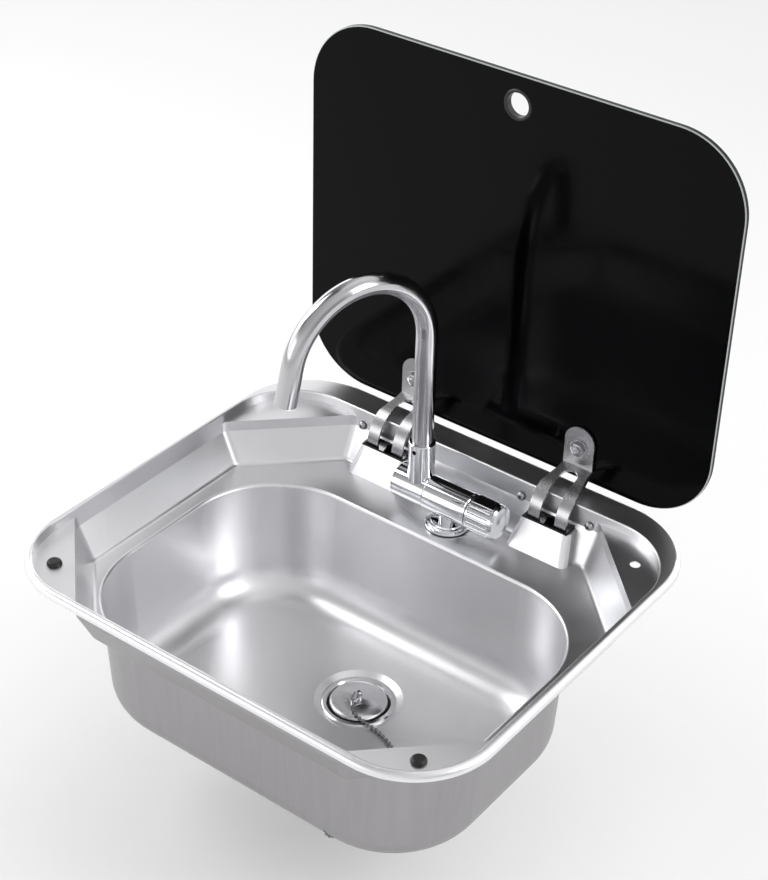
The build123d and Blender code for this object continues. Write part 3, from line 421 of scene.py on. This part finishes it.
hinge_x = 81.5
screw_pitch = 65
screw_z = -8.5
wall_y = 158
wall_draft = radians(4)
screw_drop = 14.5
screw_stand = 0.85
recess_long = 1.75
recess_short = 0.42
recess_top = 2.6
recess_foot = 0.7
recess_taper = 0.6
screw_nut_top = -4.26
screw_nut_foot = -7.26
screw_nut_edge = 0.4
rounded_below = radians(32)


def new_growth(name, sizes):
    """Node tree with a geometry input, named sizes and a geometry output, and its two end nodes."""
    tree = bpy.data.node_groups.new(name, "GeometryNodeTree")
    tree.interface.new_socket("Start", in_out="INPUT", socket_type="NodeSocketGeometry")
    for label, kind in sizes:
        tree.interface.new_socket(label, in_out="INPUT", socket_type=kind)
    tree.interface.new_socket("Grown", in_out="OUTPUT", socket_type="NodeSocketGeometry")
    return tree, tree.nodes.new("NodeGroupInput"), tree.nodes.new("NodeGroupOutput")


def grown(name, start, tree, inputs):
    """A mesh grown by a node tree from a starting mesh, as a plain object of its own."""
    base = bpy.data.objects.new(name, start)
    scene.collection.objects.link(base)
    growth = base.modifiers.new("growth", "NODES")
    growth.node_group = tree
    for item in tree.interface.items_tree:
        if item.item_type == "SOCKET" and item.in_out == "INPUT" and item.name in inputs:
            growth[item.identifier] = inputs[item.name]
    bpy.context.view_layer.update()
    depsgraph = bpy.context.evaluated_depsgraph_get()
    plain = bpy.data.meshes.new_from_object(base.evaluated_get(depsgraph))
    base.modifiers.remove(growth)
    base.data = plain
    return base


def turned(name, profile, facets):
    """Closed mesh turned round Z from (radius, height) points in mm that start and end on the axis."""
    shape = bmesh.new()
    rings = []
    for radius, height in profile:
        turns = [2 * pi * k / facets for k in range(facets if radius else 1)]
        rings.append([
            shape.verts.new((radius * MM * cos(turn), radius * MM * sin(turn), height * MM))
            for turn in turns
        ])
    for low, high in zip(rings, rings[1:]):
        for k in range(facets):
            corners = [
                low[k % len(low)], low[(k + 1) % len(low)],
                high[(k + 1) % len(high)], high[k % len(high)],
            ]
            shape.faces.new(list(dict.fromkeys(corners)))
    bmesh.ops.recalc_face_normals(shape, faces=shape.faces)
    mesh = bpy.data.meshes.new(name)
    shape.to_mesh(mesh)
    shape.free()
    return mesh


def bar(half_x, half_y, top, foot, narrow):
    """Box mesh in mm between two heights, narrower at its foot."""
    shape = bmesh.new()
    rings = [
        [shape.verts.new((x * half_x * grow * MM, y * half_y * grow * MM, z * MM))
         for x, y in ((-1, -1), (1, -1), (1, 1), (-1, 1))]
        for z, grow in ((foot, narrow), (top, 1.0))
    ]
    shape.faces.new(rings[0])
    shape.faces.new(rings[1])
    for k in range(4):
        shape.faces.new([rings[0][k], rings[0][(k + 1) % 4], rings[1][(k + 1) % 4], rings[1][k]])
    bmesh.ops.recalc_face_normals(shape, faces=shape.faces)
    mesh = bpy.data.meshes.new("bar")
    shape.to_mesh(mesh)
    shape.free()
    return mesh


def cut_with(mesh, cutter):
    """The first mesh with the second cut out of it."""
    body = bpy.data.objects.new("body", mesh)
    tool = bpy.data.objects.new("tool", cutter)
    for thing in (body, tool):
        scene.collection.objects.link(thing)
    cut = body.modifiers.new("cut", "BOOLEAN")
    cut.operation = "DIFFERENCE"
    cut.solver = "EXACT"
    cut.object = tool
    bpy.context.view_layer.update()
    depsgraph = bpy.context.evaluated_depsgraph_get()
    plain = bpy.data.meshes.new_from_object(body.evaluated_get(depsgraph))
    bpy.data.objects.remove(body)
    bpy.data.objects.remove(tool)
    return plain


def joined(name, meshes):
    """One mesh from several."""
    shape = bmesh.new()
    for mesh in meshes:
        shape.from_mesh(mesh)
    mesh = bpy.data.meshes.new(name)
    shape.to_mesh(mesh)
    shape.free()
    return mesh


# copies of one fixing on the points of the start mesh, rounded but for the edges that turn sharply
fixing_tree, given, made = new_growth("fixings", [
    ("Fixing", "NodeSocketObject"), ("Finish", "NodeSocketMaterial"), ("Smooth below", "NodeSocketFloat"),
])
pattern = node(fixing_tree, "GeometryNodeObjectInfo", [("Object", given.outputs["Fixing"])])
placed = node(fixing_tree, "GeometryNodeInstanceOnPoints", [
    ("Points", given.outputs["Start"]), ("Instance", pattern.outputs["Geometry"]),
])
real = node(fixing_tree, "GeometryNodeRealizeInstances", [("Geometry", placed.outputs["Instances"])])
edge_turn = node(fixing_tree, "GeometryNodeInputMeshEdgeAngle")
soft_edge = node(fixing_tree, "FunctionNodeCompare", [
    ("A", edge_turn.outputs["Unsigned Angle"]), ("B", given.outputs["Smooth below"]),
], data_type="FLOAT", operation="LESS_THAN")
sharp_edge = node(fixing_tree, "FunctionNodeBooleanMath", [(0, soft_edge.outputs["Result"])], operation="NOT")
rounded = node(fixing_tree, "GeometryNodeSetShadeSmooth", [("Geometry", real.outputs["Geometry"])])
kept_edge = node(fixing_tree, "GeometryNodeSetShadeSmooth", [
    ("Geometry", rounded.outputs["Geometry"]), ("Selection", sharp_edge.outputs["Boolean"]),
], [("Shade Smooth", False)], domain="EDGE")
finished = node(fixing_tree, "GeometryNodeSetMaterial", [
    ("Geometry", kept_edge.outputs["Geometry"]), ("Material", given.outputs["Finish"]),
])
fixing_tree.links.new(finished.outputs["Geometry"], made.inputs["Grown"])


def fixings(name, mesh, places, finish):
    """Copies of a fixing, whose head points to the front, at places in mm."""
    mesh.transform(Matrix.Rotation(radians(90), 4, "X"))
    pattern_object = bpy.data.objects.new(name + "_pattern", mesh)
    scene.collection.objects.link(pattern_object)
    start = bpy.data.meshes.new(name)
    start.from_pydata([tuple(c * MM for c in place) for place in places], [], [])
    piece = grown(name, start, fixing_tree, {
        "Fixing": pattern_object, "Finish": finish, "Smooth below": rounded_below,
    })
    bpy.data.objects.remove(pattern_object)
    return piece


pan_head = turned("pan_head", [
    (0, 2.2), (1.3, 2.18), (2.3, 1.95), (3.1, 1.4), (3.6, 0.7), (3.8, 0), (2.0, 0), (2.0, screw_nut_top),
    (0, screw_nut_top),
], 40)
for half_x, half_y in ((recess_long, recess_short), (recess_short, recess_long)):
    pan_head = cut_with(pan_head, bar(half_x, half_y, recess_top, recess_foot, recess_taper))
screw_nut = turned("screw_nut", [
    (0, screw_nut_top), (3.5, screw_nut_top), (4.0, screw_nut_top - screw_nut_edge),
    (4.0, screw_nut_foot + screw_nut_edge), (3.5, screw_nut_foot), (0, screw_nut_foot),
], 6)
screw_y = wall_y - screw_drop * tan(wall_draft) - screw_stand
screw_places = [
    (side * (hinge_x + half * screw_pitch / 2), screw_y, screw_z) for side in (-1, 1) for half in (-1, 1)
]
carrier_screw = joined("carrier_screw", [pan_head, screw_nut])
carrier_screws = fixings("carrier_screws", carrier_screw, screw_places, fixing_steel)
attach(carrier_screws, "sink_body")
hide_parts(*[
    f"carrier_screw_{side}_{half}" for side in sides for half in ("inner", "outer")
])

# ---------------------------------------------------------------- bolts through the glass
# Stainless bolts that clamp the straps to the lid: a socket head behind the glass, and a washer, a
# chamfered hex nut and the bolt's threaded end in front.

bolt_y = 188.9
bolt_z = 37
bolt_radius = 3.0
thread_start = 7.4
thread_depth = 0.5
thread_step = 0.25
thread_points = 6

hex_nut = turned("hex_nut", [(0, 3.7), (5.2, 3.7), (6.0, 4.1), (6.0, 7.1), (5.2, 7.5), (0, 7.5)], 6)
washer = turned("washer", [(0, 3.0), (7.2, 3.0), (7.5, 3.2), (7.5, 3.6), (7.2, 3.8), (0, 3.8)], 48)
thread = [
    (bolt_radius - thread_depth * (step % 2), thread_start + thread_step * step)
    for step in range(thread_points)
]
bolt_end = turned("bolt_end", [(0, thread_start), *thread, (2.2, 9.0), (0, 9.0)], 32)
bolt_head = turned("bolt_head", [
    (0, 3.2), (bolt_radius, 3.2), (bolt_radius, -6), (8, -6), (8, -6.7), (7.2, -7.9), (5.4, -8.7),
    (3.4, -9), (0, -9),
], 48)
socket = turned("socket", [(0, -9.4), (2.3, -9.4), (2.3, -7.6), (0, -7.0)], 6)
glass_fixing = joined("glass_fixing", [hex_nut, washer, bolt_end, cut_with(bolt_head, socket)])
bolt_places = [(side * hinge_x, bolt_y, bolt_z) for side in (-1, 1)]
glass_fixings = fixings("glass_fixings", glass_fixing, bolt_places, fixing_steel)
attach(glass_fixings, "lid")
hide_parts("glass_bolt_left", "glass_bolt_right", "glass_nut_left", "glass_nut_right")

# ---------------------------------------------------------------- waste and hinge boxes
# A polished stainless flange, clamped through the sink's dish to a black moulded nut and tail. The
# boxes that catch drips under the hinge slots are moulded from the same plastic, and they are also
# painted shade: dark boxes that make the slots read black.


def plated_chrome(name, tint, rough):
    """Bright metal plate, with faint wiping marks in its gloss, each about 17 mm across."""
    material, tree, shader = surface(name)
    place = node(tree, "ShaderNodeTexCoord").outputs["Object"]
    wiped = node(tree, "ShaderNodeTexNoise", [("Vector", place)], [("Scale", 60.0), ("Detail", 5.0)])
    roughness = node(
        tree, "ShaderNodeMapRange", [("Value", wiped.outputs["Fac"])],
        [("From Min", 0.3), ("From Max", 0.7), ("To Min", rough * 0.6), ("To Max", rough * 1.5)],
    )
    shader.inputs["Base Color"].default_value = srgb(tint)
    shader.inputs["Metallic"].default_value = 1.0
    tree.links.new(roughness.outputs["Result"], shader.inputs["Roughness"])
    return material


polished_steel = plated_chrome("polished_flange_steel", "#d2d2d4", 0.14)
dress(polished_steel, "waste_flange")
waste_plastic = moulded_rubber("moulded_waste_plastic", "#161618", 0.35)
dress(waste_plastic, "waste_nut", "waste_tail")
# the black hinge boxes are partly painted shade, darkening the slots as shade would
for side in sides:
    dress(waste_plastic, f"hinge_box_{side}")

# ---------------------------------------------------------------- plug
# Pressed brass dome, chromed and rubbed dull by use, with its edge rolled over the rubber cone that
# seals the waste. Its eye and the link are bent wire.

drain_place = Vector((5.5 * MM, 1.5 * MM, -147 * MM))
dome_edge = 23.6
dome_foot = 1.7
dome_rise = 3.2
dome_steps = 12

plug_chrome = plated_chrome("rubbed_plug_chrome", "#d6d5d8", 0.2)
worn_chrome = plated_chrome("worn_chrome_wire", "#aeaeb1", 0.16)
dress(worn_chrome, "plug_eye", "plug_link", "chain_clasp")

dome_turns = [radians(90 * k / dome_steps) for k in range(dome_steps)]
dome_curve = [(dome_edge * sin(turn), dome_foot + dome_rise * cos(turn)) for turn in dome_turns]
plug_dome_mesh = turned("plug_dome", [
    *dome_curve, (dome_edge, 1.5), (dome_edge + 0.2, 1.1), (dome_edge, 0.6), (dome_edge - 0.7, 0.45),
    (9, 0.4), (9, -3.6), (11.5, -3.6), (11.5, -5.2), (0, -5.2),
], 96)
plug_dome_mesh.transform(Matrix.Translation(drain_place))
plug_dome_mesh.shade_smooth()
plug_dome_mesh.set_sharp_from_angle(angle=radians(40))
plug_dome_mesh.materials.append(plug_chrome)
plug_dome = bpy.data.objects.new("plug_dome", plug_dome_mesh)
scene.collection.objects.link(plug_dome)
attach(plug_dome, "plug")
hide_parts("plug_cap")

# ---------------------------------------------------------------- ball chain
# Nickel-plated ball chain: hollow 3.6 mm balls on short wires, from the plug's clasp over the bowl's
# floor to a button on its front wall. The balls are set a little wide, so that they read as balls.

ball_pitch = 4.7
ball_radius = 1.8
wire_radius = 0.55
link_balls = 10
route_steps = 24
route = [
    (0.00932, -0.01130, -0.14097),
    (0.0150, -0.0170, -0.1422),
    (0.0271, -0.0186, -0.1422),
    (0.0456, -0.0216, -0.1422),
    (0.0625, -0.0280, -0.1422),
    (0.0800, -0.0450, -0.1422),
    (0.0910, -0.0700, -0.1422),
    (0.0910, -0.0980, -0.1422),
    (0.0868, -0.14198, -0.1422),
    (0.0850, -0.1444, -0.1000),
    (0.0840, -0.14587, -0.0720),
]

# the balls' nickel is set a dark grey, far darker than nickel: painted shade that stands for the shadows
# under and between the balls
chain_nickel_painted_shade = plated_chrome("nickel_balls_painted_dark", "#737376", 0.14)

route_curve = bpy.data.curves.new("chain_route", "CURVE")
route_curve.dimensions = "3D"
spline = route_curve.splines.new("NURBS")
spline.points.add(len(route) - 1)
for point, place in zip(spline.points, route):
    point.co = (*place, 1)
spline.order_u = 3
spline.use_endpoint_u = True
spline.resolution_u = route_steps
route_object = bpy.data.objects.new("chain_route", route_curve)
scene.collection.objects.link(route_object)
bpy.context.view_layer.update()
route_graph = bpy.context.evaluated_depsgraph_get()
route_mesh = bpy.data.meshes.new_from_object(route_object.evaluated_get(route_graph))
line = [v.co.copy() for v in route_mesh.vertices]
bpy.data.objects.remove(route_object)


def along(points, step):
    """Points at even distances along a line, with its last point as the last."""
    runs = [(b - a).length for a, b in zip(points, points[1:])]
    count = round(sum(runs) / step)
    even = sum(runs) / count
    found, passed, i = [points[0]], 0.0, 0
    for k in range(1, count):
        while passed + runs[i] < k * even:
            passed += runs[i]
            i += 1
        found.append(points[i].lerp(points[i + 1], (k * even - passed) / runs[i]))
    return found + [points[-1]]


# a wire along the start mesh's edges, with a ball on each of its first points
chain_tree, given, made = new_growth("ball_chain", [
    ("Ball radius", "NodeSocketFloat"), ("Wire radius", "NodeSocketFloat"), ("Balls", "NodeSocketInt"),
    ("Finish", "NodeSocketMaterial"),
])
strung = node(chain_tree, "GeometryNodeMeshToCurve", [("Mesh", given.outputs["Start"])])
ring = node(
    chain_tree, "GeometryNodeCurvePrimitiveCircle", [("Radius", given.outputs["Wire radius"])],
    [("Resolution", 6)],
)
wire = node(chain_tree, "GeometryNodeCurveToMesh", [
    ("Curve", strung.outputs["Curve"]), ("Profile Curve", ring.outputs["Curve"]),
], [("Fill Caps", True)])
ball = node(
    chain_tree, "GeometryNodeMeshUVSphere", [("Radius", given.outputs["Ball radius"])],
    [("Segments", 10), ("Rings", 7)],
)
number = node(chain_tree, "GeometryNodeInputIndex")
early = node(
    chain_tree, "ShaderNodeMath", [(0, number.outputs["Index"]), (1, given.outputs["Balls"])],
    operation="LESS_THAN",
)
balls = node(chain_tree, "GeometryNodeInstanceOnPoints", [
    ("Points", given.outputs["Start"]), ("Selection", early.outputs["Value"]),
    ("Instance", ball.outputs["Mesh"]),
])
both = node(chain_tree, "GeometryNodeJoinGeometry", [("Geometry", wire.outputs["Mesh"])])
chain_tree.links.new(balls.outputs["Instances"], both.inputs["Geometry"])
whole = node(chain_tree, "GeometryNodeRealizeInstances", [("Geometry", both.outputs["Geometry"])])
smooth = node(chain_tree, "GeometryNodeSetShadeSmooth", [("Geometry", whole.outputs["Geometry"])])
finished = node(chain_tree, "GeometryNodeSetMaterial", [
    ("Geometry", smooth.outputs["Geometry"]), ("Material", given.outputs["Finish"]),
])
chain_tree.links.new(finished.outputs["Geometry"], made.inputs["Grown"])


def chain_piece(name, points, count):
    """A stretch of chain along points, with balls on the first count of them."""
    start = bpy.data.meshes.new(name)
    start.from_pydata([tuple(p) for p in points], [(i, i + 1) for i in range(len(points) - 1)], [])
    return grown(name, start, chain_tree, {
        "Ball radius": ball_radius * MM, "Wire radius": wire_radius * MM, "Balls": count,
        "Finish": chain_nickel_painted_shade,
    })


balls_at = along(line, ball_pitch * MM)
near_points = balls_at[:link_balls + 1]
far_points = balls_at[link_balls:]
chain_by_plug = chain_piece("chain_by_plug", near_points, link_balls)
chain_run = chain_piece("chain_run", far_points, len(far_points))
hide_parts("ball_chain")
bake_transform(chain_by_plug)
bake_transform(chain_run)

# ---------------------------------------------------------------- folding tap
# Chromed brass castings and a bent chromed tube, with a brass nut and tail under the ledge and a
# fluted knob at the end. The tube's chrome is a greyer copy of the castings', painted shade, as it
# looked too white.

chrome = plated_chrome("bright_chrome_plate", "#e6e7ea", 0.06)
dress(chrome, "tap_base_ring", "tap_body", "fold_sleeve", "sleeve_cap", "tap_ring", "tap_knob")
dress(chrome, "chain_anchor")
# the tube's darker grey is painted shade on the same chrome as the castings
shaded_drawn_chrome = plated_chrome("chromed_drawn_tube_painted_shade", "#bbbabd", 0.13)
dress(shaded_drawn_chrome, "spout_tube")
screw_black = plated_chrome("blackened_grub_screw", "#3a3a3d", 0.3)
dress(screw_black, "grub_screw")
turned_brass = satin_steel("turned_brass", "#c9a561", 0.28, (0.5, 0.5, 4), 0.05)
dress(turned_brass, "tap_spindle", "tap_nut", "inlet_tail")
dress(fixing_steel, "tap_washer")
dress(waste_plastic, "spout_outlet")
